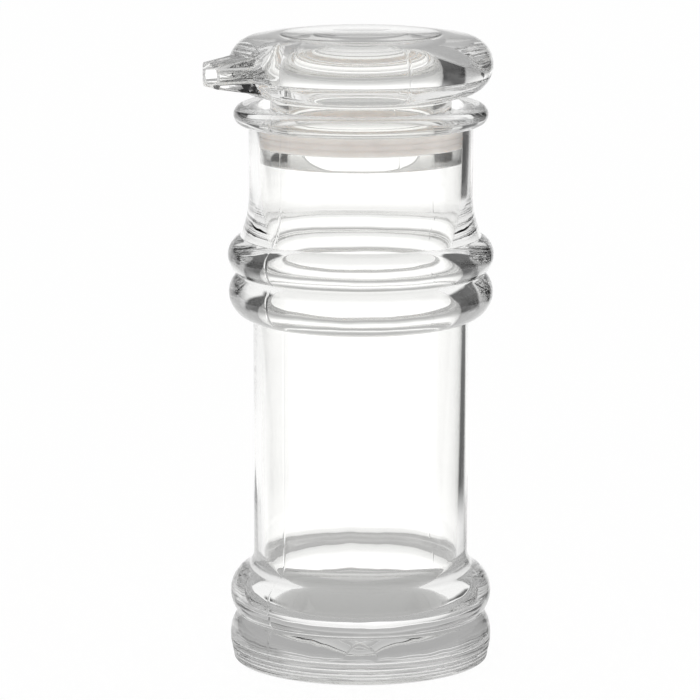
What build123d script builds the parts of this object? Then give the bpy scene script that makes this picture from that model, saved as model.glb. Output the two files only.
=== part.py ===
from build123d import *
import os

# Clear oil dispenser bottle with a lift-and-turn pouring lid, in millimetres.
# The origin is the centre of the plane that the bottle stands on, +Z is up and the spout points to -X.
# Every round piece is a half profile in the XZ plane, turned about Z.

# Bottle: the bore at the mouth, how much it narrows to the floor, the overall height and the walls
BORE_R = 29.7
BORE_DRAFT = 0.7
BOTTLE_HEIGHT = 165.6
BODY_WALL = 2.8
NECK_WALL = 3.25
FLOOR_THICK = 17.8
FLOOR_CORNER_R = 2.0

# Lip and neck
LIP_STAND = 4.35
LIP_ROUND_R = 2.95
MOUTH_EASE_R = 1.4
NECK_HEIGHT = 26.1

# Shoulder and the two beads under it; a stand is measured out from the body
SHOULDER_HEIGHT = 12.7
SHOULDER_STAND = 3.7
HIGH_BEAD_STAND = 7.4
LOW_BEAD_STAND = 7.2
LOW_BEAD_FALL = 8.3
BEAD_HALF = 5.5
BEAD_GROOVE_STAND = 4.6

# Base bead, with a flare and a crease over it, and the foot
BASE_BEAD_STAND = 6.95
BASE_BEAD_Z = 20.3
BASE_BEAD_RISE = 7.2
BASE_CREASE_STAND = 3.2
BASE_FLARE_HEIGHT = 5.0
FOOT_GROOVE_STAND = 4.7
FOOT_GROOVE_Z = 14.1
FOOT_STAND = 7.0
FOOT_WIDE_Z = 7.6
FOOT_TUCK = 1.1
FOOT_ROUND_R = 0.9

# Underside
STAND_RING_WIDTH = 3.4
RECESS_DEPTH = 0.8
GATE_R = 3.4
GATE_DEPTH = 0.4

# Plug of the lid, which hangs in the neck
PLUG_DEPTH = 16.2
PLUG_GAP = 0.3
PLUG_WALL = 5.1
STEM_GAP = 3.1
LOW_FLANGE_THICK = 4.6
TOP_FLANGE_THICK = 1.2

# Seal ring in its groove round the plug
SEAL_HEIGHT = 5.2
SEAL_THICK = 3.3
SEAL_RIBS = 3
SEAL_RIB_DEPTH = 0.7
SEAL_GAP = 0.06

# Head of the lid, moulded in two halves
HEAD_GAP = 3.4
HEAD_OVERHANG = 1.4
HEAD_HEIGHT = 16.2
HEAD_LOWER = 5.3
HEAD_WIDE_RISE = 8.3
HEAD_UNDER_IN = 6.0
STEM_FLARE_R = 2.0
CAVITY_STEP = 2.5
CAVITY_FLOOR_RISE = 1.4
CROWN_EDGE_IN = 6.5
CROWN_FALL = 1.0

# Flat disc let into the crown
DISC_IN = 0.4
DISC_THICK = 2.6
DISC_PROUD = 0.1
DISC_GAP = 0.05
LEDGE_REACH = 1.2
LEDGE_THICK = 1.0

# Pouring spout, across the parting plane of the head
SPOUT_OUT = 9.2
SPOUT_SEAT = 6.5
SPOUT_RISE = 2.0
SPOUT_WIDTH = 12.0
SPOUT_HEIGHT = 7.0
SPOUT_WIDTH_GROWTH = 4.0
SPOUT_HEIGHT_GROWTH = 5.0
SPOUT_EDGE_R = 1.2
CHANNEL_WALL = 2.0
CHANNEL_ROOF = 0.9
CHANNEL_ARCH_R = 2.4
CHANNEL_LOW_R = 0.5

# Radii and heights that follow from the values above
FLOOR_R = BORE_R - BORE_DRAFT
BODY_R = FLOOR_R + BODY_WALL
NECK_R = BORE_R + NECK_WALL
LIP_R = NECK_R + LIP_STAND
FOOT_R = BODY_R + FOOT_STAND
SEAT_R = BORE_R - BORE_DRAFT * PLUG_DEPTH / (BOTTLE_HEIGHT - FLOOR_THICK)
FLANGE_R = SEAT_R - PLUG_GAP
STEM_R = BORE_R - STEM_GAP
PLUG_BORE_R = STEM_R - PLUG_WALL
GROOVE_R = SEAT_R - SEAL_THICK - 2 * SEAL_GAP
BASE_CREASE_Z = BASE_BEAD_Z + BASE_BEAD_RISE
FLARE_TOP_Z = BASE_CREASE_Z + BASE_FLARE_HEIGHT
PLUG_Z = BOTTLE_HEIGHT - PLUG_DEPTH
GROOVE_Z = PLUG_Z + LOW_FLANGE_THICK
GROOVE_TOP_Z = GROOVE_Z + SEAL_HEIGHT + 2 * SEAL_GAP
HEAD_R = LIP_R + HEAD_OVERHANG
HEAD_Z = BOTTLE_HEIGHT + HEAD_GAP
PARTING_Z = HEAD_Z + HEAD_LOWER
HEAD_WIDE_Z = HEAD_Z + HEAD_WIDE_RISE
CROWN_EDGE_Z = HEAD_Z + HEAD_HEIGHT
CROWN_Z = CROWN_EDGE_Z + CROWN_FALL
CAVITY_R = PLUG_BORE_R + CAVITY_STEP
DISC_R = CAVITY_R - DISC_IN
LEDGE_Z = CROWN_Z + DISC_PROUD - DISC_THICK

UP = Vector(0, 0, 1)
DOWN = Vector(0, 0, -1)
OUT = Vector(1, 0, 0)


def at(r, z):
    """A point of a half profile, at radius r and height z."""
    return Vector(r, 0, z)


def path(*points):
    """Straight edges through the points, in order."""
    return [Line(a, b) for a, b in zip(points, points[1:])]


def turned(edges):
    """The closed outline of the edges, turned about Z into a solid."""
    return revolve(make_face(edges), Axis.Z)


def lip_edges():
    """The rolled lip: from the bore over the mouth and round to the neck."""
    round_in_r = LIP_R - LIP_ROUND_R
    lip_mid_z = BOTTLE_HEIGHT - LIP_ROUND_R
    under_z = BOTTLE_HEIGHT - 2 * LIP_ROUND_R
    ease_r = BORE_R + MOUTH_EASE_R
    return [
        TangentArc(at(BORE_R, BOTTLE_HEIGHT - MOUTH_EASE_R), at(ease_r, BOTTLE_HEIGHT), tangent=UP),
        Line(at(ease_r, BOTTLE_HEIGHT), at(round_in_r, BOTTLE_HEIGHT)),
        TangentArc(at(round_in_r, BOTTLE_HEIGHT), at(LIP_R, lip_mid_z), tangent=OUT),
        TangentArc(at(LIP_R, lip_mid_z), at(round_in_r, under_z), tangent=DOWN),
        Line(at(round_in_r, under_z), at(NECK_R, under_z)),
    ]


def shoulder_edges():
    """From under the lip down the neck, out over the shoulder and round the two beads to the body."""
    shoulder_z = BOTTLE_HEIGHT - NECK_HEIGHT
    bead_top_z = shoulder_z - SHOULDER_HEIGHT
    bead_top_r = BODY_R + SHOULDER_STAND
    high_z = bead_top_z - BEAD_HALF
    groove_z = high_z - BEAD_HALF
    low_z = groove_z - BEAD_HALF
    under_z = low_z - LOW_BEAD_FALL
    high_r = BODY_R + HIGH_BEAD_STAND
    groove_r = BODY_R + BEAD_GROOVE_STAND
    low_r = BODY_R + LOW_BEAD_STAND
    return [
        Line(at(NECK_R, BOTTLE_HEIGHT - 2 * LIP_ROUND_R), at(NECK_R, shoulder_z)),
        TangentArc(at(NECK_R, shoulder_z), at(bead_top_r, bead_top_z), tangent=DOWN),
        TangentArc(at(high_r, high_z), at(bead_top_r, bead_top_z), tangent=UP),
        TangentArc(at(high_r, high_z), at(groove_r, groove_z), tangent=DOWN),
        TangentArc(at(low_r, low_z), at(groove_r, groove_z), tangent=UP),
        TangentArc(at(low_r, low_z), at(BODY_R, under_z), tangent=DOWN),
        Line(at(BODY_R, under_z), at(BODY_R, FLARE_TOP_Z)),
    ]


def foot_edges():
    """From the body over the flare to its crease, then round the base bead and the foot to the standing ring."""
    bead_r = BODY_R + BASE_BEAD_STAND
    crease_r = BODY_R + BASE_CREASE_STAND
    groove_r = BODY_R + FOOT_GROOVE_STAND
    edge_r = FOOT_R - FOOT_TUCK
    return [
        TangentArc(at(BODY_R, FLARE_TOP_Z), at(crease_r, BASE_CREASE_Z), tangent=DOWN),
        TangentArc(at(bead_r, BASE_BEAD_Z), at(crease_r, BASE_CREASE_Z), tangent=UP),
        TangentArc(at(bead_r, BASE_BEAD_Z), at(groove_r, FOOT_GROOVE_Z), tangent=DOWN),
        TangentArc(at(FOOT_R, FOOT_WIDE_Z), at(groove_r, FOOT_GROOVE_Z), tangent=UP),
        TangentArc(at(FOOT_R, FOOT_WIDE_Z), at(edge_r, FOOT_ROUND_R), tangent=DOWN),
        TangentArc(at(edge_r - FOOT_ROUND_R, 0), at(edge_r, FOOT_ROUND_R), tangent=OUT),
    ]


def underside_edges():
    """From the standing ring over the shallow recess and the round gate dimple to the axis."""
    ring_out_r = FOOT_R - FOOT_TUCK - FOOT_ROUND_R
    ring_in_r = ring_out_r - STAND_RING_WIDTH
    return path(
        at(ring_out_r, 0),
        at(ring_in_r, 0),
        at(ring_in_r - RECESS_DEPTH, RECESS_DEPTH),
        at(GATE_R, RECESS_DEPTH),
        at(GATE_R, RECESS_DEPTH + GATE_DEPTH),
        at(0, RECESS_DEPTH + GATE_DEPTH),
        at(0, FLOOR_THICK),
    )


def inside_edges():
    """From the axis along the floor and up the slightly tapered bore."""
    corner_r = FLOOR_R - FLOOR_CORNER_R
    corner_z = FLOOR_THICK + FLOOR_CORNER_R
    return [
        Line(at(0, FLOOR_THICK), at(corner_r, FLOOR_THICK)),
        TangentArc(at(corner_r, FLOOR_THICK), at(FLOOR_R, corner_z), tangent=OUT),
        Line(at(FLOOR_R, corner_z), at(BORE_R, BOTTLE_HEIGHT - MOUTH_EASE_R)),
    ]


def bottle():
    """The bottle, one thick clear moulding."""
    return turned(lip_edges() + shoulder_edges() + foot_edges() + underside_edges() + inside_edges())


def seal_ring():
    """The soft ring in the groove of the plug, with round ribs that meet the bore."""
    in_r = GROOVE_R + SEAL_GAP
    out_r = SEAT_R - SEAL_GAP
    root_r = out_r - SEAL_RIB_DEPTH
    low_z = GROOVE_Z + SEAL_GAP
    top_z = low_z + SEAL_HEIGHT
    pitch = SEAL_HEIGHT / SEAL_RIBS
    edges = path(at(root_r, low_z), at(in_r, low_z), at(in_r, top_z), at(root_r, top_z))
    for i in range(SEAL_RIBS):
        z = low_z + i * pitch
        edges.append(ThreePointArc(at(root_r, z), at(out_r, z + pitch / 2), at(root_r, z + pitch)))
    return turned(edges)


def spout_section(x, grown):
    """The rounded outline of the spout at x, grown by a share of its full growth towards the head."""
    plane = Plane(origin=(x, 0, PARTING_Z + SPOUT_RISE), x_dir=(0, -1, 0), z_dir=(-1, 0, 0))
    width = SPOUT_WIDTH + grown * SPOUT_WIDTH_GROWTH
    height = SPOUT_HEIGHT + grown * SPOUT_HEIGHT_GROWTH
    return plane * RectangleRounded(width, height, SPOUT_EDGE_R)


def spout_block():
    """The tapered tab of the spout, rooted in the ring of the head."""
    return loft([spout_section(SPOUT_SEAT - HEAD_R, 1), spout_section(-HEAD_R - SPOUT_OUT, 0)])


def pour_channel():
    """The way through the spout, flat below and arched above, from the cavity past the tip."""
    width = SPOUT_WIDTH - 2 * CHANNEL_WALL
    height = SPOUT_HEIGHT - 2 * CHANNEL_ROOF
    start_x = CHANNEL_WALL - CAVITY_R
    length = HEAD_R + SPOUT_OUT + start_x + CHANNEL_WALL
    plane = Plane(origin=(start_x, 0, PARTING_Z + SPOUT_RISE), x_dir=(0, -1, 0), z_dir=(-1, 0, 0))
    block = extrude(plane * Rectangle(width, height), length)
    block = fillet(block.edges().filter_by(Axis.X).group_by(Axis.Z)[-1], CHANNEL_ARCH_R)
    return fillet(block.edges().filter_by(Axis.X).group_by(Axis.Z)[0], CHANNEL_LOW_R)


def share(solid, end):
    """The part of a solid under the parting plane, for Align.MAX, or over it, for Align.MIN."""
    side = 6 * HEAD_R
    return solid & Pos(0, 0, PARTING_Z) * Box(side, side, side, align=(Align.CENTER, Align.CENTER, end))


def head_outline():
    """The whole head and plug as one turned solid, with its cavity and the rebate for the disc."""
    flange_top_z = GROOVE_TOP_Z + TOP_FLANGE_THICK
    under_r = HEAD_R - HEAD_UNDER_IN
    flare_z = HEAD_Z - STEM_FLARE_R
    cavity_floor_z = HEAD_Z + CAVITY_FLOOR_RISE
    rebate_r = DISC_R + DISC_GAP
    edges = path(
        at(CAVITY_R, cavity_floor_z),
        at(PLUG_BORE_R, cavity_floor_z),
        at(PLUG_BORE_R, PLUG_Z),
        at(FLANGE_R, PLUG_Z),
        at(FLANGE_R, GROOVE_Z),
        at(GROOVE_R, GROOVE_Z),
        at(GROOVE_R, GROOVE_TOP_Z),
        at(FLANGE_R, GROOVE_TOP_Z),
        at(FLANGE_R, flange_top_z),
        at(STEM_R, flange_top_z),
        at(STEM_R, flare_z),
    )
    edges.append(TangentArc(at(STEM_R, flare_z), at(STEM_R + STEM_FLARE_R, HEAD_Z), tangent=UP))
    edges.append(Line(at(STEM_R + STEM_FLARE_R, HEAD_Z), at(under_r, HEAD_Z)))
    edges.append(TangentArc(at(HEAD_R, HEAD_WIDE_Z), at(under_r, HEAD_Z), tangent=DOWN))
    edges.append(TangentArc(at(HEAD_R, HEAD_WIDE_Z), at(HEAD_R - CROWN_EDGE_IN, CROWN_EDGE_Z), tangent=UP))
    edges += path(
        at(HEAD_R - CROWN_EDGE_IN, CROWN_EDGE_Z),
        at(rebate_r, CROWN_Z),
        at(rebate_r, LEDGE_Z),
        at(CAVITY_R - LEDGE_REACH, LEDGE_Z),
        at(CAVITY_R - LEDGE_REACH, LEDGE_Z - LEDGE_THICK),
        at(CAVITY_R, LEDGE_Z - LEDGE_THICK),
        at(CAVITY_R, cavity_floor_z),
    )
    return turned(edges)


def crown_disc():
    """The flat disc that closes the cavity, seated on the ledge of the upper half."""
    return Pos(0, 0, LEDGE_Z) * Cylinder(DISC_R, DISC_THICK, align=(Align.CENTER, Align.CENTER, Align.MIN))


def main():
    """Write one file for each piece."""
    os.makedirs("parts", exist_ok=True)
    lid = head_outline() + spout_block() - pour_channel()
    pieces = {
        "bottle": bottle(),
        "seal_ring": seal_ring(),
        "lid_lower": share(lid, Align.MAX),
        "lid_upper": share(lid, Align.MIN),
        "crown_disc": crown_disc(),
    }
    for name, piece in pieces.items():
        export_step(piece, os.path.join("parts", name + ".step"))


main()
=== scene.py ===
import math

import bpy
from bpy.props import FloatProperty, IntProperty, PointerProperty, StringProperty
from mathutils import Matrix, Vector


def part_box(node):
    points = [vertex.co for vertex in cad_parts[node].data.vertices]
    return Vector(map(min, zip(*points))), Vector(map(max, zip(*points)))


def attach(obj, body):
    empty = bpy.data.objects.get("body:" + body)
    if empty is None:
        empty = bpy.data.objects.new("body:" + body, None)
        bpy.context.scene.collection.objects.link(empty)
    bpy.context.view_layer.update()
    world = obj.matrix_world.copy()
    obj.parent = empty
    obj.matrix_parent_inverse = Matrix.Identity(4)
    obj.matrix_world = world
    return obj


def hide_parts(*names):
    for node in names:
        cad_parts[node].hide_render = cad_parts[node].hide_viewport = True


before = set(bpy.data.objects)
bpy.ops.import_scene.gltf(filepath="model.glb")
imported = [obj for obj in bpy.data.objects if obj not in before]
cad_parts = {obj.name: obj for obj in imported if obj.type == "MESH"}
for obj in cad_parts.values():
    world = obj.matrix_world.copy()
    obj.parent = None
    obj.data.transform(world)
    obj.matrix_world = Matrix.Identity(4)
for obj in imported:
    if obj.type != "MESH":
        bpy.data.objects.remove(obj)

bl_info = {
    "name": "Clear Oil Bottle",
    "version": (1, 0, 0),
    "blender": (4, 5, 0),
    "location": "View3D > Sidebar > Oil Bottle",
    "description": "Builds a clear moulded oil bottle with a lift-and-turn pouring lid on a pale stage",
    "category": "Add Mesh",
}

MM = 0.001


def length(name, description, millimetres):
    """A size that the user may change, kept in metres."""
    return FloatProperty(
        name=name, description=description, default=millimetres * MM, unit="LENGTH", precision=5
    )


def colour(name, description, value):
    """A colour that the user may change, as an sRGB hex value."""
    return StringProperty(name=name, description=description, default=value)


class BottleSizes(bpy.types.PropertyGroup):
    """Sizes of the bottle, in metres."""
    bore_r: length("Bore", "Radius of the straight bore", 29.7)
    bore_draft: length("Bore draft", "How much narrower the bore is at the floor", 0.7)
    body_wall: length("Body wall", "Thickness of the body's wall at the floor", 2.8)
    neck_wall: length("Neck wall", "Thickness of the neck's wall", 3.25)
    floor_thick: length("Floor", "Height of the inner floor over the stand", 17.8)
    floor_corner_r: length("Floor corner", "Rounding where the floor meets the bore", 2.0)
    lip_stand: length("Lip", "How far the lip stands out from the neck", 4.35)
    lip_round_r: length("Lip rounding", "Half the height of the rolled lip", 2.95)
    mouth_ease_r: length("Mouth rounding", "Rounding of the bore's top edge", 1.4)
    neck_height: length("Neck", "Height from the shoulder's top to the mouth", 26.1)
    shoulder_height: length("Shoulder", "Height of the flare under the neck", 12.7)
    shoulder_stand: length("Shoulder flare", "How far the flare stands out from the body", 3.7)
    high_bead_stand: length("High bead", "How far the upper bead stands out", 7.4)
    low_bead_stand: length("Low bead", "How far the lower bead stands out", 7.2)
    bead_half: length("Bead half height", "Half the height of each bead", 5.5)
    low_bead_fall: length("Low bead fall", "Height of the lower bead under its widest line", 8.3)
    bead_groove_stand: length("Bead groove", "How far the groove between the beads stands out", 4.6)
    base_bead_stand: length("Base bead", "How far the base bead stands out", 6.95)
    base_bead_z: length("Base bead height", "Height of the base bead's widest line", 20.3)
    base_bead_rise: length("Base bead rise", "Height of the base bead over its widest line", 7.2)
    base_crease_stand: length("Base crease", "How far the crease over the base bead stands out", 3.2)
    base_flare_height: length("Base flare", "Height of the flare over the base bead", 5.0)
    foot_groove_stand: length("Foot groove", "How far the groove over the foot stands out", 4.7)
    foot_groove_z: length("Foot groove height", "Height of the groove over the foot", 14.1)
    foot_stand: length("Foot", "How far the foot stands out", 7.0)
    foot_wide_z: length("Foot height", "Height of the foot's widest line", 7.6)
    foot_tuck: length("Foot tuck", "How far the foot draws in to its lower edge", 1.1)
    foot_round_r: length("Foot rounding", "Rounding of the foot's lower edge", 0.9)
    ring_depth: length("Ring depth", "Depth of the fine grooves round the foot", 0.28)
    ring_half: length("Ring half height", "Half the height of each fine groove", 0.5)
    stand_ring_width: length("Standing ring", "Width of the ring that the bottle stands on", 3.4)
    recess_depth: length("Recess", "Depth of the recess inside the standing ring", 0.8)
    gate_r: length("Gate mark", "Radius of the round mark under the bottle", 3.4)
    gate_depth: length("Gate depth", "Depth of the round mark", 0.12)
    corner_r: length("Corner rounding", "Rounding of the bottle's sharp corners", 0.25)


class LidSizes(bpy.types.PropertyGroup):
    """Sizes of the lid and its seal, in metres."""
    plug_depth: length("Plug depth", "How far the plug hangs below the mouth", 16.2)
    plug_gap: length("Plug gap", "Gap between the plug's flanges and the bore", 0.3)
    plug_wall: length("Plug wall", "Thickness of the stem's wall", 5.1)
    stem_gap: length("Stem gap", "Gap between the stem and the bore", 3.1)
    low_flange_thick: length("Low flange", "Height of the plug's lower flange", 4.6)
    top_flange_thick: length("Top flange", "Height of the flange over the seal", 1.2)
    seal_height: length("Seal height", "Height of the seal ring", 5.2)
    seal_thick: length("Seal thickness", "Thickness of the seal ring", 3.3)
    seal_rib_depth: length("Seal rib", "Depth of the seal's round ribs, pressed flat by the bore", 0.25)
    seal_gap: length("Seal gap", "Gap round the seal ring", 0.06)
    head_gap: length("Head gap", "Gap between the mouth and the head", 3.4)
    head_overhang: length("Head overhang", "How far the head stands out over the lip", 1.4)
    head_height: length("Head height", "Height of the head to the crown's edge", 16.2)
    head_lower: length("Lower half", "Height of the head's lower half", 5.3)
    head_wide_rise: length("Widest line", "Height of the head's widest line over its underside", 8.3)
    head_under_in: length("Underside", "How far the flat underside lies inside the rim", 6.0)
    stem_flare_r: length("Stem flare", "Rounding between the stem and the head", 2.0)
    cavity_step: length("Cavity step", "How much wider the cavity is than the stem's bore", 2.5)
    cavity_floor_rise: length("Cavity floor", "Height of the cavity's floor over the underside", 1.4)
    crown_edge_in: length("Crown edge", "How far the crown's edge lies inside the rim", 6.5)
    crown_fall: length("Crown fall", "Fall of the crown from the disc to its edge", 1.0)
    disc_in: length("Disc", "How much smaller the disc is than the cavity", 0.4)
    disc_thick: length("Disc thickness", "Thickness of the disc", 2.6)
    disc_proud: length("Disc step", "How far the disc stands over the crown", 0.1)
    disc_gap: length("Disc gap", "Gap round the disc", 0.05)
    ledge_reach: length("Ledge", "Width of the ledge under the disc", 1.2)
    ledge_thick: length("Ledge thickness", "Thickness of the ledge under the disc", 1.0)
    spout_out: length("Spout", "How far the spout stands out from the head", 9.2)
    spout_seat: length("Spout seat", "How far the spout is rooted in the head", 6.5)
    spout_rise: length("Spout rise", "Height of the spout's middle over the parting", 2.0)
    spout_width: length("Spout width", "Width of the spout at its tip", 12.0)
    spout_height: length("Spout height", "Height of the spout at its tip", 7.0)
    spout_width_growth: length("Spout width growth", "How much wider the spout is at its root", 4.0)
    spout_height_growth: length("Spout height growth", "How much higher the spout is at its root", 5.0)
    spout_edge_r: length("Spout edge", "Rounding of the spout's long edges", 1.2)
    channel_wall: length("Channel wall", "Thickness of the walls beside the channel", 2.0)
    channel_roof: length("Channel roof", "Thickness of the walls over and under the channel", 0.9)
    channel_edge_r: length("Channel edge", "Rounding of the channel's long edges", 2.16)
    bond_gap: length("Bond line", "Thin line of air between the bonded halves", 0.02)
    corner_r: length("Corner rounding", "Rounding of the lid's sharp corners", 0.2)
    seal_ribs: IntProperty(
        name="Seal ribs", description="Number of round ribs on the seal", default=3, min=1
    )


class Looks(bpy.types.PropertyGroup):
    """Colours of the materials and the floor, and the marks that moulding leaves."""
    acrylic: colour("Acrylic", "Body colour of the clear acrylic", "#FDFDFC")
    acrylic_deep: colour("Acrylic, denser", "Colour of the acrylic where it flowed last", "#FAFAF9")
    silicone: colour("Silicone", "Colour of the translucent silicone", "#D9D4D1")
    silicone_cloud: colour("Silicone cloud", "Colour of the silicone's cloudier spots", "#D0CBC8")
    floor: colour("Floor", "Colour of the floor", "#FCFCFB")
    turn_steps: IntProperty(
        name="Turn steps", description="Faces round a turned piece", default=320, min=24
    )
    waver_size: length("Waver size", "Size of the uneven spots that moulding leaves", 14.0)
    waver_depth: length("Waver depth", "Depth of the uneven spots that moulding leaves", 0.25)
    seam_width: length("Seam width", "Width of the hair-thin mould seams", 0.25)
    seam_height: length("Seam height", "How far the mould seams stand out", 0.05)


def linear(hex_value):
    """An sRGB hex colour as linear red, green, blue and alpha."""
    def one(i):
        c = int(hex_value[i:i + 2], 16) / 255
        return c / 12.92 if c <= 0.04045 else ((c + 0.055) / 1.055) ** 2.4
    return one(1), one(3), one(5), 1.0


def add(tree, kind, settings=None, links=None):
    """Adds a node, sets its attributes or input values, and links its inputs to outputs or nodes."""
    node = tree.nodes.new(kind)
    for key, value in (settings or {}).items():
        if isinstance(key, int) or key in node.inputs:
            node.inputs[key].default_value = value
        else:
            setattr(node, key, value)
    for key, source in (links or {}).items():
        output = source.outputs[0] if isinstance(source, bpy.types.Node) else source
        tree.links.new(output, node.inputs[key])
    return node


UP, DOWN, OUT = (0, 1), (0, -1), (1, 0)
ARC_STEP = math.radians(6)


def arc(start, end, tangent):
    """Points of the circular arc from start to end that leaves start along tangent, without start."""
    sx, sz = start
    dx, dz = end[0] - sx, end[1] - sz
    tx, tz = tangent
    nx, nz = -tz, tx
    side = 2 * (dx * nx + dz * nz)
    radius = (dx * dx + dz * dz) / side
    cx, cz = sx + nx * radius, sz + nz * radius
    first = math.atan2(sz - cz, sx - cx)
    last = math.atan2(end[1] - cz, end[0] - cx)
    sweep = (last - first) % math.tau if radius > 0 else -((first - last) % math.tau)
    count = max(3, math.ceil(abs(sweep) / ARC_STEP))
    r = abs(radius)
    turns = [first + sweep * i / count for i in range(1, count)]
    return [(cx + r * math.cos(a), cz + r * math.sin(a)) for a in turns] + [end]


def back_arc(start, end, tangent):
    """The same arc drawn the other way, from end to start, without end."""
    points = [start] + arc(start, end, tangent)
    return points[::-1][1:]


def deselect():
    bpy.ops.object.select_all(action="DESELECT")


def pick(piece):
    """Makes a piece the only selected one and the active one."""
    deselect()
    bpy.context.view_layer.objects.active = piece
    piece.select_set(True)


def edit_where(piece, mode, test):
    """Goes into edit mode with only those vertices, edges or faces selected that pass the test."""
    mesh = piece.data
    for group in (mesh.vertices, mesh.edges, mesh.polygons):
        for item in group:
            item.select = False
    for item in {"VERT": mesh.vertices, "EDGE": mesh.edges, "FACE": mesh.polygons}[mode]:
        item.select = test(item)
    bpy.context.tool_settings.mesh_select_mode = (mode == "VERT", mode == "EDGE", mode == "FACE")
    bpy.ops.object.mode_set(mode="EDIT")


MERGE_REACH = 1e-7
SMOOTH_UNDER = math.radians(35)
# A bend in an outline is a corner where the angle between its arms is under this many degrees.
CORNER_UNDER = 150
CORNER_FACES = 3


def turn(name, outline, corner_r, steps):
    """Draws a half outline by extruding one vertex, eases its corners and spins it about Z."""
    deselect()
    first = outline[0]
    bpy.ops.mesh.primitive_plane_add(size=MM, location=(first[0], 0, first[1]))
    piece = bpy.context.object
    piece.name = name
    bpy.ops.object.transform_apply(location=True)
    edit_where(piece, "VERT", lambda vertex: True)
    bpy.ops.mesh.merge(type="CENTER")
    for a, b in zip(outline, outline[1:]):
        step = (b[0] - a[0], 0, b[1] - a[1])
        bpy.ops.mesh.extrude_vertices_move(TRANSFORM_OT_translate={"value": step})
    bpy.ops.mesh.select_all(action="SELECT")
    bpy.ops.mesh.remove_doubles(threshold=MERGE_REACH)
    if corner_r:
        ease_corners(piece, corner_r)
    bpy.ops.mesh.select_all(action="SELECT")
    bpy.ops.mesh.spin(steps=steps, angle=math.tau, center=(0, 0, 0), axis=(0, 0, 1))
    bpy.ops.mesh.select_all(action="SELECT")
    bpy.ops.mesh.remove_doubles(threshold=MERGE_REACH)
    bpy.ops.mesh.normals_make_consistent(inside=False)
    bpy.ops.object.mode_set(mode="OBJECT")
    bpy.ops.object.shade_smooth_by_angle(angle=SMOOTH_UNDER)
    return piece


def ease_corners(piece, corner_r):
    """Rounds the sharp corners of an outline that is being edited."""
    bpy.ops.object.mode_set(mode="OBJECT")
    mesh = piece.data
    arms = {}
    for edge in mesh.edges:
        a, b = edge.vertices
        arms.setdefault(a, []).append(b)
        arms.setdefault(b, []).append(a)

    def is_corner(vertex):
        ends = arms[vertex.index]
        if len(ends) != 2 or vertex.co.x < MM:
            return False
        one, two = (mesh.vertices[j].co - vertex.co for j in ends)
        return math.degrees(one.angle(two)) < CORNER_UNDER

    edit_where(piece, "VERT", is_corner)
    bpy.ops.mesh.bevel(
        affect="VERTICES", offset=corner_r, offset_type="OFFSET", segments=CORNER_FACES, clamp_overlap=True
    )


def raise_seam(piece, turned, over_r, looks):
    """Raises a hair-thin mould seam up one side of a turned piece, at an angle from -Y towards +X."""
    column = 360 / looks.turn_steps
    turned = 90 + round((turned - 90) / column) * column
    same_column, same_line = column / 4, column / 40

    def on_seam(point, reach):
        off = (math.degrees(math.atan2(point.x, -point.y)) - turned + 180) % 360 - 180
        return math.hypot(point.x, point.y) > over_r and abs(off) < reach

    ends = piece.data.vertices
    # The bevel makes three lines of the column's one, and only the middle one is raised.
    edit_where(piece, "EDGE", lambda edge: all(on_seam(ends[i].co, same_column) for i in edge.vertices))
    bpy.ops.mesh.bevel(offset=looks.seam_width / 2, segments=2)
    bpy.ops.object.mode_set(mode="OBJECT")
    edit_where(piece, "VERT", lambda vertex: on_seam(vertex.co, same_line))
    grown = 1 + looks.seam_height / over_r
    bpy.ops.transform.resize(value=(grown, grown, 1), center_override=(0, 0, 0))
    bpy.ops.object.mode_set(mode="OBJECT")


def waver(piece, over_r, low_z, high_z, looks):
    """Draws the outer side of a turned piece in by an uneven part of a millimetre, as shrinking does.

    The lines that the clear wall bends, as in the beads and the shoulder, waver by it.
    """
    group = piece.vertex_groups.new(name="outer_side")
    outer = [
        vertex.index for vertex in piece.data.vertices
        if math.hypot(vertex.co.x, vertex.co.y) > over_r and low_z < vertex.co.z < high_z
    ]
    group.add(outer, 1.0, "REPLACE")
    clouds = bpy.data.textures.new("melt_flow", "CLOUDS")
    clouds.noise_scale = looks.waver_size
    pick(piece)
    modifier = piece.modifiers.new("waver", "DISPLACE")
    modifier.texture = clouds
    modifier.texture_coords = "LOCAL"
    modifier.vertex_group = group.name
    modifier.mid_level = 1.0
    modifier.strength = looks.waver_depth
    bpy.ops.object.modifier_apply(modifier=modifier.name)
    piece.vertex_groups.remove(piece.vertex_groups[group.name])
    bpy.data.textures.remove(clouds)


def bottle_height():
    """Height of the bottle's mouth, read from the frame."""
    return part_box("bottle")[1].z


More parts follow.
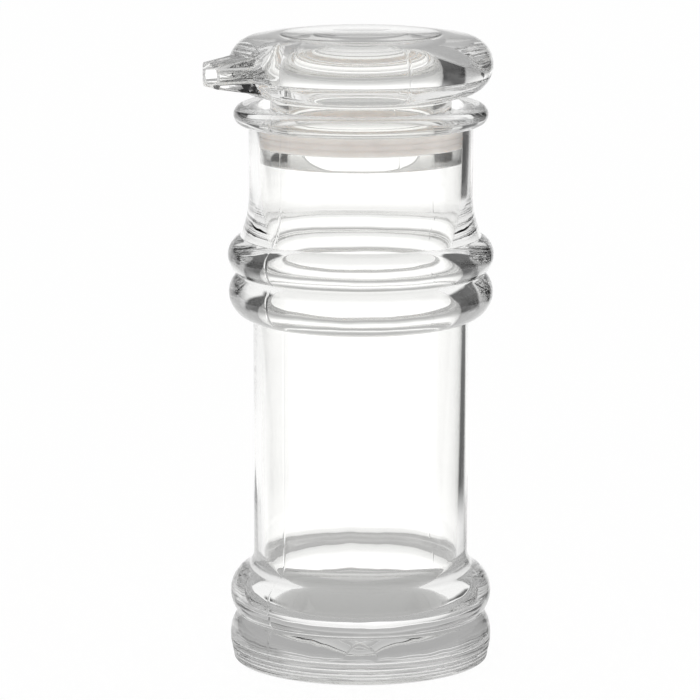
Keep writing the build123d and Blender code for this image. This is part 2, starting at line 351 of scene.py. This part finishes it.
def bottle_outline(size):
    """The bottle's half outline, from the bore's top edge over the lip and down the outside to the axis."""
    height = bottle_height()
    body_r = size.bore_r - size.bore_draft + size.body_wall
    neck_r = size.bore_r + size.neck_wall
    lip_r = neck_r + size.lip_stand
    foot_r = body_r + size.foot_stand
    points = [(size.bore_r, height - size.mouth_ease_r)]
    points += arc(points[-1], (size.bore_r + size.mouth_ease_r, height), UP)
    points.append((lip_r - size.lip_round_r, height))
    points += arc(points[-1], (lip_r, height - size.lip_round_r), OUT)
    points += arc(points[-1], (lip_r - size.lip_round_r, height - 2 * size.lip_round_r), DOWN)
    points.append((neck_r, height - 2 * size.lip_round_r))
    shoulder_z = height - size.neck_height
    points.append((neck_r, shoulder_z))
    bead_top = (body_r + size.shoulder_stand, shoulder_z - size.shoulder_height)
    points += arc(points[-1], bead_top, DOWN)
    high_mid = (body_r + size.high_bead_stand, bead_top[1] - size.bead_half)
    groove = (body_r + size.bead_groove_stand, high_mid[1] - size.bead_half)
    points += back_arc(high_mid, bead_top, UP)
    points += arc(high_mid, groove, DOWN)
    low_mid = (body_r + size.low_bead_stand, groove[1] - size.bead_half)
    points += back_arc(low_mid, groove, UP)
    points += arc(low_mid, (body_r, low_mid[1] - size.low_bead_fall), DOWN)
    base_mid = (body_r + size.base_bead_stand, size.base_bead_z)
    crease = (body_r + size.base_crease_stand, size.base_bead_z + size.base_bead_rise)
    foot_groove = (body_r + size.foot_groove_stand, size.foot_groove_z)
    points.append((body_r, crease[1] + size.base_flare_height))
    points += arc(points[-1], crease, DOWN)
    points += back_arc(base_mid, crease, UP)
    points += arc(base_mid, foot_groove, DOWN)
    foot_mid = (foot_r, size.foot_wide_z)
    edge_r = foot_r - size.foot_tuck
    points += back_arc(foot_mid, foot_groove, UP)
    points += ringed(foot_mid, arc(foot_mid, (edge_r, size.foot_round_r), DOWN), size)
    ring_out = (edge_r - size.foot_round_r, 0)
    points += back_arc(ring_out, (edge_r, size.foot_round_r), OUT)
    ring_in_r = ring_out[0] - size.stand_ring_width
    points.append((ring_in_r, 0))
    points.append((ring_in_r - size.recess_depth, size.recess_depth))
    points.append((size.gate_r, size.recess_depth))
    points.append((size.gate_r, size.recess_depth + size.gate_depth))
    points.append((0, size.recess_depth + size.gate_depth))
    return points


# Heights of the fine grooves round the foot, and the step between the points that draw them.
FOOT_RINGS = (6.4 * MM, 4.3 * MM, 2.8 * MM, 1.8 * MM)
RING_POINT_STEP = 0.12 * MM


def ring_dip(z, size):
    """How deep the fine grooves round the foot are at a height."""
    offsets = [min(1, abs(z - ring_z) / size.ring_half) for ring_z in FOOT_RINGS]
    return size.ring_depth * sum(0.5 + 0.5 * math.cos(math.pi * offset) for offset in offsets)


def ringed(start, points, size):
    """The lower side of the foot with its fine round grooves, each a shallow smooth dip."""
    made = []
    for a, b in zip([start] + points, points):
        count = max(1, math.ceil((a[1] - b[1]) / RING_POINT_STEP))
        for i in range(1, count + 1):
            share = i / count
            z = a[1] + share * (b[1] - a[1])
            made.append((a[0] + share * (b[0] - a[0]) - ring_dip(z, size), z))
    return made


def bottle_inside(size):
    """The inside of the bottle, from the axis along the floor and up the bore."""
    low_r = size.bore_r - size.bore_draft
    points = [(0, size.floor_thick), (low_r - size.floor_corner_r, size.floor_thick)]
    points += arc(points[-1], (low_r, size.floor_thick + size.floor_corner_r), OUT)
    points.append((size.bore_r, bottle_height() - size.mouth_ease_r))
    return points


# Where the mould seams run, in degrees from -Y towards +X.
BOTTLE_SEAMS = (-71.3, 108.7)
LID_SEAM = -5.0
# A point lies on the outer side when it is this far outside the bore or the cavity.
OUTER_SIDE = 1.0 * MM
# The outer side wavers from this height upwards, so that the standing ring stays flat.
WAVER_LOW_Z = 2.0 * MM


class OILBOTTLE_OT_bottle(bpy.types.Operator):
    """Turns the bottle, one thick clear moulding"""
    bl_idname = "oilbottle.bottle"
    bl_label = "Bottle"

    def execute(self, context):
        size, looks = context.scene.oil_bottle, context.scene.oil_looks
        outline = bottle_inside(size) + bottle_outline(size)[1:]
        piece = turn("clear_bottle", outline, size.corner_r, looks.turn_steps)
        over_r = size.bore_r + OUTER_SIDE
        for turned in BOTTLE_SEAMS:
            raise_seam(piece, turned, over_r, looks)
        waver(piece, over_r, WAVER_LOW_Z, bottle_height() - size.neck_height, looks)
        finish_piece(piece, "bottle", "bottle", clear_acrylic())
        return {"FINISHED"}


def finish_piece(piece, node, body, material):
    """Gives a piece its material and slot, lets it stand for its node and ride on its body."""
    piece.data.materials.clear()
    piece.data.materials.append(material)
    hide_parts(node)
    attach(piece, body)


def lid_heights(size, bottle):
    """The lid's main radii and heights, worked out from the bottle and the frame."""
    height = bottle_height()
    lip_r = bottle.bore_r + bottle.neck_wall + bottle.lip_stand
    seat_r = bottle.bore_r - bottle.bore_draft * size.plug_depth / (height - bottle.floor_thick)
    stem_r = bottle.bore_r - size.stem_gap
    bore_r = stem_r - size.plug_wall
    plug_z = height - size.plug_depth
    groove_z = plug_z + size.low_flange_thick
    head_z = height + size.head_gap
    return {
        "seat_r": seat_r,
        "flange_r": seat_r - size.plug_gap,
        "stem_r": stem_r,
        "bore_r": bore_r,
        "groove_r": seat_r - size.seal_thick - 2 * size.seal_gap,
        "plug_z": plug_z,
        "groove_z": groove_z,
        "groove_top_z": groove_z + size.seal_height + 2 * size.seal_gap,
        "head_r": lip_r + size.head_overhang,
        "head_z": head_z,
        "parting_z": head_z + size.head_lower,
        "wide_z": head_z + size.head_wide_rise,
        "edge_z": head_z + size.head_height,
        "crown_z": head_z + size.head_height + size.crown_fall,
        "cavity_r": bore_r + size.cavity_step,
    }


def cut_arc(points, z, keep_above):
    """The share of a run of outline points on one side of a height, with a point put in on it."""
    kept = []

    def keep(point):
        if (point[1] >= z) == keep_above and point not in kept:
            kept.append(point)

    for a, b in zip(points, points[1:]):
        keep(a)
        if (a[1] - z) * (b[1] - z) < 0:
            share = (z - a[1]) / (b[1] - a[1])
            kept.append((a[0] + share * (b[0] - a[0]), z))
        keep(b)
    return kept


def rim_lower(size, lid):
    """The underside of the rim, from the widest line down to the flat underside."""
    start = (lid["head_r"], lid["wide_z"])
    return [start] + arc(start, (lid["head_r"] - size.head_under_in, lid["head_z"]), DOWN)


def lower_outline(size, lid):
    """Half outline of the lower moulding: plug, groove, stem and the underside of the head."""
    top_z = lid["parting_z"] - size.bond_gap / 2
    flange_top_z = lid["groove_top_z"] + size.top_flange_thick
    floor_z = lid["head_z"] + size.cavity_floor_rise
    flare_z = lid["head_z"] - size.stem_flare_r
    flare_r = lid["stem_r"] + size.stem_flare_r
    points = [
        (lid["cavity_r"], top_z),
        (lid["cavity_r"], floor_z),
        (lid["bore_r"], floor_z),
        (lid["bore_r"], lid["plug_z"]),
        (lid["flange_r"], lid["plug_z"]),
        (lid["flange_r"], lid["groove_z"]),
        (lid["groove_r"], lid["groove_z"]),
        (lid["groove_r"], lid["groove_top_z"]),
        (lid["flange_r"], lid["groove_top_z"]),
        (lid["flange_r"], flange_top_z),
        (lid["stem_r"], flange_top_z),
        (lid["stem_r"], flare_z),
    ]
    points += arc(points[-1], (flare_r, lid["head_z"]), UP)
    points += cut_arc(rim_lower(size, lid), top_z, False)[::-1]
    points.append(points[0])
    return points


def upper_outline(size, lid):
    """Half outline of the upper moulding: the rim, the crown and the ledge for the disc."""
    low_z = lid["parting_z"] + size.bond_gap / 2
    disc_r = lid["cavity_r"] - size.disc_in + size.disc_gap
    ledge_z = lid["crown_z"] + size.disc_proud - size.disc_thick
    ledge_r = lid["cavity_r"] - size.ledge_reach
    points = [(lid["cavity_r"], low_z)]
    points += cut_arc(rim_lower(size, lid), low_z, True)[::-1]
    points += arc((lid["head_r"], lid["wide_z"]), (lid["head_r"] - size.crown_edge_in, lid["edge_z"]), UP)
    points += [
        (disc_r, lid["crown_z"]),
        (disc_r, ledge_z),
        (ledge_r, ledge_z),
        (ledge_r, ledge_z - size.ledge_thick),
        (lid["cavity_r"], ledge_z - size.ledge_thick),
        (lid["cavity_r"], low_z),
    ]
    return points


FACE_REACH = 1e-6
EDGE_FACES = 6
# How far the cut for the channel runs into the cavity and past the spout's tip.
CUT_REACH = 2.0 * MM


def block(name, x_root, x_tip, mid_z, root, tip, edge_r):
    """A tapered bar along X, with its two end faces set to size and its long edges rounded."""
    deselect()
    middle = ((x_root + x_tip) / 2, 0, mid_z)
    bpy.ops.mesh.primitive_cube_add(size=1, location=middle, scale=(abs(x_root - x_tip), MM, MM))
    piece = bpy.context.object
    piece.name = name
    bpy.ops.object.transform_apply(location=True, scale=True)
    for x, (width, height) in ((x_root, root), (x_tip, tip)):
        edit_where(piece, "FACE", lambda face: abs(face.center.x - x) < FACE_REACH)
        bpy.ops.transform.resize(value=(1, width / MM, height / MM), center_override=(0, 0, mid_z))
        bpy.ops.object.mode_set(mode="OBJECT")

    def is_long(edge):
        a, b = (piece.data.vertices[i].co for i in edge.vertices)
        return abs(a.x - b.x) > abs(x_root - x_tip) / 2

    edit_where(piece, "EDGE", is_long)
    bpy.ops.mesh.bevel(offset=edge_r, segments=EDGE_FACES)
    bpy.ops.mesh.select_all(action="SELECT")
    bpy.ops.mesh.normals_make_consistent(inside=False)
    bpy.ops.object.mode_set(mode="OBJECT")
    return piece


def keep_side(piece, z, above):
    """Cuts a block at a height and closes the cut."""
    pick(piece)
    bpy.ops.object.mode_set(mode="EDIT")
    bpy.ops.mesh.select_all(action="SELECT")
    bpy.ops.mesh.bisect(
        plane_co=(0, 0, z), plane_no=(0, 0, 1), use_fill=True, clear_inner=above, clear_outer=not above
    )
    bpy.ops.mesh.select_all(action="SELECT")
    bpy.ops.mesh.normals_make_consistent(inside=False)
    bpy.ops.object.mode_set(mode="OBJECT")


def combine(piece, other, operation):
    """Joins or cuts a piece with another and removes the other."""
    pick(piece)
    modifier = piece.modifiers.new(operation.lower(), "BOOLEAN")
    modifier.operation = operation
    modifier.solver = "EXACT"
    modifier.object = other
    bpy.ops.object.modifier_apply(modifier=modifier.name)
    bpy.data.objects.remove(other)


def with_spout(piece, size, lid, above):
    """Adds one half of the spout to a half of the lid and cuts the channel through it."""
    z = lid["parting_z"] + (size.bond_gap if above else -size.bond_gap) / 2
    mid_z = lid["parting_z"] + size.spout_rise
    root_x, tip_x = size.spout_seat - lid["head_r"], -lid["head_r"] - size.spout_out
    tip = (size.spout_width, size.spout_height)
    root = (size.spout_width + size.spout_width_growth, size.spout_height + size.spout_height_growth)
    tab = block("tab", root_x, tip_x, mid_z, root, tip, size.spout_edge_r)
    keep_side(tab, z, above)
    combine(piece, tab, "UNION")
    way = (size.spout_width - 2 * size.channel_wall, size.spout_height - 2 * size.channel_roof)
    start_x, end_x = CUT_REACH - lid["cavity_r"], tip_x - CUT_REACH
    channel = block("channel", start_x, end_x, mid_z, way, way, size.channel_edge_r)
    combine(piece, channel, "DIFFERENCE")
    pick(piece)
    bpy.ops.object.shade_smooth_by_angle(angle=SMOOTH_UNDER)


class OILBOTTLE_OT_lid(bpy.types.Operator):
    """Turns the two halves of the lid and gives them their halves of the spout"""
    bl_idname = "oilbottle.lid"
    bl_label = "Lid halves"

    def execute(self, context):
        size, looks = context.scene.oil_lid, context.scene.oil_looks
        lid = lid_heights(size, context.scene.oil_bottle)
        over_r = lid["cavity_r"] + OUTER_SIDE
        lower = turn("clear_lid_lower", lower_outline(size, lid), size.corner_r, looks.turn_steps)
        raise_seam(lower, LID_SEAM, over_r, looks)
        with_spout(lower, size, lid, False)
        finish_piece(lower, "lid_lower", "lid", clear_acrylic())
        upper = turn("clear_lid_upper", upper_outline(size, lid), size.corner_r, looks.turn_steps)
        raise_seam(upper, LID_SEAM, over_r, looks)
        with_spout(upper, size, lid, True)
        finish_piece(upper, "lid_upper", "lid", clear_acrylic())
        return {"FINISHED"}


class OILBOTTLE_OT_disc(bpy.types.Operator):
    """Makes the flat disc of the crown"""
    bl_idname = "oilbottle.disc"
    bl_label = "Crown disc"

    def execute(self, context):
        scene = context.scene
        size = scene.oil_lid
        lid = lid_heights(size, scene.oil_bottle)
        disc_r = lid["cavity_r"] - size.disc_in
        top_z = lid["crown_z"] + size.disc_proud
        low_z = top_z - size.disc_thick + size.bond_gap
        outline = [(0, low_z), (disc_r, low_z), (disc_r, top_z), (0, top_z)]
        piece = turn("clear_crown_disc", outline, size.corner_r, scene.oil_looks.turn_steps)
        finish_piece(piece, "crown_disc", "lid", clear_acrylic())
        return {"FINISHED"}


class OILBOTTLE_OT_seal(bpy.types.Operator):
    """Turns the ribbed seal ring"""
    bl_idname = "oilbottle.seal"
    bl_label = "Seal ring"

    def execute(self, context):
        scene = context.scene
        size = scene.oil_lid
        lid = lid_heights(size, scene.oil_bottle)
        in_r = lid["groove_r"] + size.seal_gap
        out_r = lid["seat_r"] - size.seal_gap
        root_r = out_r - size.seal_rib_depth
        low_z = lid["groove_z"] + size.seal_gap
        pitch = size.seal_height / size.seal_ribs
        outline = [(in_r, low_z + size.seal_height), (in_r, low_z), (root_r, low_z)]
        for i in range(size.seal_ribs):
            z = low_z + i * pitch
            top = (out_r, z + pitch / 2)
            outline += back_arc(top, (root_r, z), DOWN) + arc(top, (root_r, z + pitch), UP)
        outline.append(outline[0])
        piece = turn("soft_seal_ring", outline, 0, scene.oil_looks.turn_steps)
        finish_piece(piece, "seal_ring", "seal", seal_silicone())
        return {"FINISHED"}


def material(name):
    """A named material with an empty node tree and its output."""
    made = bpy.data.materials.get(name)
    if made:
        return made, None, None
    made = bpy.data.materials.new(name)
    made.use_nodes = True
    made.node_tree.nodes.clear()
    return made, made.node_tree, add(made.node_tree, "ShaderNodeOutputMaterial")


def cloudy(tree, size, softness, first, second):
    """Two colours that drift into each other in soft spots of a real size, with the spots' own height."""
    place = add(tree, "ShaderNodeTexCoord")
    spots = add(
        tree, "ShaderNodeTexNoise", {"Scale": 1 / size, "Detail": 2.0, "Roughness": 0.4},
        {"Vector": place.outputs["Object"]},
    )
    ramp = add(tree, "ShaderNodeValToRGB", links={"Fac": spots.outputs["Fac"]})
    low, high = ramp.color_ramp.elements
    low.position, high.position = 0.5 - softness, 0.5 + softness
    low.color, high.color = linear(first), linear(second)
    return ramp.outputs["Color"], spots.outputs["Fac"]


# How far the melt's flow marks in the acrylic and the clouds in the silicone lie apart.
FLOW_SIZE = 22 * MM
CLOUD_SIZE = 6 * MM


def clear_acrylic():
    """Clear acrylic, injection moulded in a polished steel tool.

    The eye gets a water-clear wall, a trace denser and with a barely seen pull where the melt flowed last.
    """
    made, tree, out = material("moulded_clear_acrylic")
    if tree is None:
        return made
    looks = bpy.context.scene.oil_looks
    tint, flow = cloudy(tree, FLOW_SIZE, 0.3, looks.acrylic, looks.acrylic_deep)
    pull = add(tree, "ShaderNodeBump", {"Strength": 0.2, "Distance": 0.1 * MM}, {"Height": flow})
    body = add(
        tree,
        "ShaderNodeBsdfPrincipled",
        {"Roughness": 0.0, "IOR": 1.49, "Transmission Weight": 1.0},
        {"Base Color": tint, "Normal": pull.outputs["Normal"]},
    )
    tree.links.new(body.outputs["BSDF"], out.inputs["Surface"])
    return made


def seal_silicone():
    """Translucent silicone rubber, compression moulded in a lightly blasted tool.

    The eye gets a milky, warm ring without a hard highlight, softly lit from inside, with faint clouds.
    """
    made, tree, out = material("moulded_silicone")
    if tree is None:
        return made
    looks = bpy.context.scene.oil_looks
    tint, spots = cloudy(tree, CLOUD_SIZE, 0.2, looks.silicone, looks.silicone_cloud)
    grain = add(tree, "ShaderNodeBump", {"Strength": 0.2, "Distance": 0.05 * MM}, {"Height": spots})
    body = add(
        tree,
        "ShaderNodeBsdfPrincipled",
        {
            "Roughness": 0.5,
            "IOR": 1.41,
            "Subsurface Weight": 0.7,
            "Subsurface Radius": (1.0, 0.9, 0.8),
            "Subsurface Scale": 3.0 * MM,
        },
        {"Base Color": tint, "Normal": grain.outputs["Normal"]},
    )
    tree.links.new(body.outputs["BSDF"], out.inputs["Surface"])
    return made


# The photograph's camera, in degrees, metres and pixels of its 700 x 700 frame.
CAMERA_AZIMUTH = -26.0
CAMERA_DISTANCE = 1.3468
CAMERA_HEIGHT = 0.3395
CAMERA_PITCH = 10.398
FOCAL_PIXELS = 4640.0
PHOTO_SIDE = 700.0
AXIS_PIXEL = 361.0
SENSOR = 36.0


def photo_camera():
    """The camera at the photograph's viewing angle."""
    data = bpy.data.cameras.new("photo_camera")
    data.sensor_width = SENSOR
    data.lens = FOCAL_PIXELS / PHOTO_SIDE * SENSOR
    data.clip_start = 0.01
    camera = bpy.data.objects.new("photo_camera", data)
    bpy.context.scene.collection.objects.link(camera)
    azimuth = math.radians(CAMERA_AZIMUTH)
    camera.location = (
        CAMERA_DISTANCE * math.sin(azimuth),
        -CAMERA_DISTANCE * math.cos(azimuth),
        CAMERA_HEIGHT,
    )
    yaw = math.atan((AXIS_PIXEL - PHOTO_SIDE / 2) / FOCAL_PIXELS)
    camera.rotation_euler = (math.radians(90 - CAMERA_PITCH), 0, azimuth + yaw)
    bpy.context.scene.camera = camera


WHITE = (1, 1, 1, 1)
FLOOR_R = 4.0
FLOOR_SIDES = 96
FLOOR_DROP = 0.02 * MM
# Share of the floor's own glow where it is looked at, against the light that falls on it.
FLOOR_GLOW = 0.92
# Through the clear walls, the floor shows a painted shadow: a grey glow, not lit, that fades between these
# radii to the open room.
SHADE_NEAR = 38 * MM
SHADE_FAR = 62 * MM
SHADE_LEVEL = 0.45


def stage_floor():
    """A wide pale floor that reads nearly white and keeps the real shadow round the foot, with a painted
    shadow under the foot where it is seen through the clear walls.
    """
    deselect()
    bpy.ops.mesh.primitive_circle_add(
        vertices=FLOOR_SIDES, radius=FLOOR_R, fill_type="NGON", location=(0, 0, -FLOOR_DROP)
    )
    floor = bpy.context.object
    floor.name = "pale_floor"
    floor.data.materials.append(pale_floor())


def pale_floor():
    """Matt white paper, smooth and rolled.

    The eye gets an even, almost white ground without gloss, and under the clear foot a painted shadow: a
    soft grey glow that stands in for the foot's shadow.
    """
    made, tree, out = material("matt_pale_floor")
    path = add(tree, "ShaderNodeLightPath")
    matt = add(tree, "ShaderNodeBsdfDiffuse", {"Color": linear(bpy.context.scene.oil_looks.floor)})
    glow = add(tree, "ShaderNodeEmission", {"Color": WHITE, "Strength": 1.0})
    glow_share = add(
        tree, "ShaderNodeMath", {"operation": "MULTIPLY", 1: FLOOR_GLOW}, {0: path.outputs["Is Camera Ray"]}
    )
    open_floor = add(tree, "ShaderNodeMixShader", links={0: glow_share, 1: matt, 2: glow})
    # Painted shadow: seen through the clear walls, the floor is not lit but glows grey near the foot, by
    # its distance from the axis.
    place = add(tree, "ShaderNodeTexCoord")
    reach = add(tree, "ShaderNodeVectorMath", {"operation": "LENGTH"}, {0: place.outputs["Object"]})
    shade = add(
        tree,
        "ShaderNodeMapRange",
        {
            "interpolation_type": "SMOOTHSTEP",
            "From Min": SHADE_NEAR,
            "From Max": SHADE_FAR,
            "To Min": SHADE_LEVEL,
            "To Max": 1.0,
        },
        {"Value": reach.outputs["Value"]},
    )
    painted_shadow_pool = add(tree, "ShaderNodeEmission", {"Color": WHITE}, {"Strength": shade})
    open_room = add(tree, "ShaderNodeBsdfTransparent")
    past_painted_shadow = add(
        tree, "ShaderNodeMath", {"operation": "GREATER_THAN", 1: SHADE_FAR}, {0: reach.outputs["Value"]}
    )
    seen_painted_shadow = add(tree, "ShaderNodeMixShader", links={0: past_painted_shadow, 1: painted_shadow_pool, 2: open_room})
    through = add(
        tree,
        "ShaderNodeMath",
        {"operation": "MAXIMUM"},
        {0: path.outputs["Is Transmission Ray"], 1: path.outputs["Is Glossy Ray"]},
    )
    whole = add(tree, "ShaderNodeMixShader", links={0: through, 1: open_floor, 2: seen_painted_shadow})
    tree.links.new(whole.outputs["Shader"], out.inputs["Surface"])
    return made


# The room's light by the height that it comes from, each a pair of degrees over the horizon and level:
# what is seen straight through the clear walls, and what is mirrored inside them.
STRAIGHT_LIGHT = (
    (-90, 0.82),
    (-42, 0.85),
    (-24, 0.98),
    (-18, 1.22),
    (1, 1.22),
    (6, 0.80),
    (14, 0.48),
    (28, 0.50),
    (50, 0.62),
    (80, 0.80),
)
MIRRORED_LIGHT = (
    (-90, 0.75),
    (-42, 0.85),
    (-22, 1.00),
    (-2, 1.02),
    (3, 0.80),
    (9, 0.42),
    (26, 0.44),
    (42, 0.58),
    (60, 0.68),
    (80, 0.85),
)
# The unlit sides of the room, in degrees from the camera's view to the right and over the horizon.
RIGHT_SIDE = 24.0
RIGHT_SIDE_END = 85.0
LEFT_SIDE = -39.0
LEFT_SIDE_END = -95.0
SIDE_LOW_RISE = -15.0
SIDE_TOP_RISE = 10.0
SIDE_LEVEL = 0.10
SIDE_EDGE = 4.0
RISE_EDGE = 2.0
# The left side leans, by this many degrees for each degree of rise between the two heights.
LEFT_SLANT = 2.1
SLANT_LOW_RISE = -10.0
SLANT_TOP_RISE = 5.0


def light_by_rise(tree, rise, levels):
    """The light's level by the height that it is looked for at, in degrees over the horizon."""
    share = add(tree, "ShaderNodeMapRange", {"From Min": -90.0, "From Max": 90.0}, {"Value": rise})
    ramp = add(tree, "ShaderNodeValToRGB", links={"Fac": share})
    stops = ramp.color_ramp.elements
    for i, (angle, level) in enumerate(levels):
        stop = stops[i] if i < 2 else stops.new(1)
        stop.position = (angle + 90) / 180
        stop.color = (level, level, level, 1)
    return ramp


def soft_edge(tree, angle, place, half, low, high):
    """The soft edge of an unlit side, from low before its place to high past it."""
    return add(
        tree,
        "ShaderNodeMapRange",
        {
            "interpolation_type": "SMOOTHSTEP",
            "From Min": place - half,
            "From Max": place + half,
            "To Min": low,
            "To Max": high,
        },
        {"Value": angle},
    )


def side_shade(tree, axes, rise):
    """The unlit sides of the room, met by light that is mirrored inside the clear walls."""
    right_way, far_way = axes.outputs["X"], axes.outputs["Y"]
    bearing = add(tree, "ShaderNodeMath", {"operation": "ARCTAN2"}, {0: right_way, 1: far_way})
    degrees = add(tree, "ShaderNodeMath", {"operation": "DEGREES"}, {0: bearing})
    from_view = add(tree, "ShaderNodeMath", {"operation": "ADD", 1: CAMERA_AZIMUTH}, {0: degrees})
    right = soft_edge(tree, from_view, RIGHT_SIDE, SIDE_EDGE, 1, SIDE_LEVEL)
    past_right = soft_edge(tree, from_view, RIGHT_SIDE_END, SIDE_EDGE, 0, 1 - SIDE_LEVEL)
    slant_range = {"Min": SLANT_LOW_RISE, "Max": SLANT_TOP_RISE}
    slant_rise = add(tree, "ShaderNodeClamp", slant_range, {"Value": rise})
    slant = add(tree, "ShaderNodeMath", {"operation": "MULTIPLY", 1: LEFT_SLANT}, {0: slant_rise})
    slanted = add(tree, "ShaderNodeMath", {"operation": "SUBTRACT"}, {0: from_view, 1: slant})
    left = soft_edge(tree, slanted, LEFT_SIDE, SIDE_EDGE, SIDE_LEVEL, 1)
    past_left = soft_edge(tree, from_view, LEFT_SIDE_END, SIDE_EDGE, 1 - SIDE_LEVEL, 0)
    right_light = add(tree, "ShaderNodeMath", {"operation": "ADD"}, {0: right, 1: past_right})
    left_light = add(tree, "ShaderNodeMath", {"operation": "ADD"}, {0: left, 1: past_left})
    sides = add(tree, "ShaderNodeMath", {"operation": "MULTIPLY"}, {0: right_light, 1: left_light})
    over_low = soft_edge(tree, rise, SIDE_LOW_RISE, RISE_EDGE, 0, 1)
    under_top = soft_edge(tree, rise, SIDE_TOP_RISE, RISE_EDGE, 1, 0)
    in_band = add(tree, "ShaderNodeMath", {"operation": "MULTIPLY"}, {0: over_low, 1: under_top})
    return add(tree, "ShaderNodeMapRange", {"To Min": 1.0}, {"Value": in_band, "To Max": sides})


def studio_world():
    """A white sweep below and a soft lamp overhead, with the unlit room between and beside them."""
    world = bpy.data.worlds.new("pale_studio")
    bpy.context.scene.world = world
    world.use_nodes = True
    tree = world.node_tree
    tree.nodes.clear()
    out = add(tree, "ShaderNodeOutputWorld")
    way = add(tree, "ShaderNodeTexCoord")
    axes = add(tree, "ShaderNodeSeparateXYZ", links={"Vector": way.outputs["Generated"]})
    slope = add(tree, "ShaderNodeMath", {"operation": "ARCSINE"}, {0: axes.outputs["Z"]})
    rise = add(tree, "ShaderNodeMath", {"operation": "DEGREES"}, {0: slope})
    path = add(tree, "ShaderNodeLightPath")
    after_one = {"operation": "GREATER_THAN", 1: 0.5}
    is_mirrored = add(tree, "ShaderNodeMath", after_one, {0: path.outputs["Glossy Depth"]})
    is_soft = add(tree, "ShaderNodeMath", after_one, {0: path.outputs["Diffuse Depth"]})
    straight = light_by_rise(tree, rise, STRAIGHT_LIGHT)
    all_round = light_by_rise(tree, rise, MIRRORED_LIGHT)
    shade = side_shade(tree, axes, rise)
    mirrored = add(tree, "ShaderNodeMath", {"operation": "MULTIPLY"}, {0: all_round, 1: shade})
    room = add(
        tree, "ShaderNodeMapRange", {}, {"Value": is_mirrored, "To Min": straight, "To Max": mirrored}
    )
    # The open background and the light on matt pieces stay plain white.
    is_open = path.outputs["Is Camera Ray"]
    plain = add(tree, "ShaderNodeMath", {"operation": "MAXIMUM"}, {0: is_open, 1: is_soft})
    level = add(tree, "ShaderNodeMath", {"operation": "MAXIMUM"}, {0: room, 1: plain})
    back = add(tree, "ShaderNodeBackground", {"Color": WHITE}, {"Strength": level})
    tree.links.new(back.outputs["Background"], out.inputs["Surface"])


def view_settings():
    """Plain view settings, and enough bounces for light to pass through every clear wall.

    The filter on glossy light is off, because it takes light from what lies behind the clear walls.
    """
    scene = bpy.context.scene
    scene.view_settings.view_transform = "Standard"
    scene.cycles.max_bounces = 32
    scene.cycles.transmission_bounces = 32
    scene.cycles.glossy_bounces = 16
    scene.cycles.transparent_max_bounces = 32
    scene.cycles.blur_glossy = 0.0


class OILBOTTLE_OT_stage(bpy.types.Operator):
    """Makes the camera, the pale floor, the studio light and the view settings"""
    bl_idname = "oilbottle.stage"
    bl_label = "Stage"

    def execute(self, context):
        photo_camera()
        stage_floor()
        studio_world()
        view_settings()
        return {"FINISHED"}


class OILBOTTLE_PT_panel(bpy.types.Panel):
    """Lists what the add-on builds"""
    bl_label = "Oil Bottle"
    bl_idname = "OILBOTTLE_PT_panel"
    bl_space_type = "VIEW_3D"
    bl_region_type = "UI"
    bl_category = "Oil Bottle"

    def draw(self, context):
        for operator in OPERATORS:
            self.layout.operator(operator.bl_idname)


OPERATORS = (
    OILBOTTLE_OT_stage,
    OILBOTTLE_OT_bottle,
    OILBOTTLE_OT_seal,
    OILBOTTLE_OT_lid,
    OILBOTTLE_OT_disc,
)
CLASSES = (BottleSizes, LidSizes, Looks, *OPERATORS, OILBOTTLE_PT_panel)


def register():
    for item in CLASSES:
        bpy.utils.register_class(item)
    bpy.types.Scene.oil_bottle = PointerProperty(type=BottleSizes)
    bpy.types.Scene.oil_lid = PointerProperty(type=LidSizes)
    bpy.types.Scene.oil_looks = PointerProperty(type=Looks)


def unregister():
    del bpy.types.Scene.oil_looks
    del bpy.types.Scene.oil_lid
    del bpy.types.Scene.oil_bottle
    for item in reversed(CLASSES):
        bpy.utils.unregister_class(item)


def main():
    register()
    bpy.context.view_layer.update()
    bpy.ops.oilbottle.stage()
    bpy.ops.oilbottle.bottle()
    bpy.ops.oilbottle.seal()
    bpy.ops.oilbottle.lid()
    bpy.ops.oilbottle.disc()


if __name__ == "__main__":
    main()
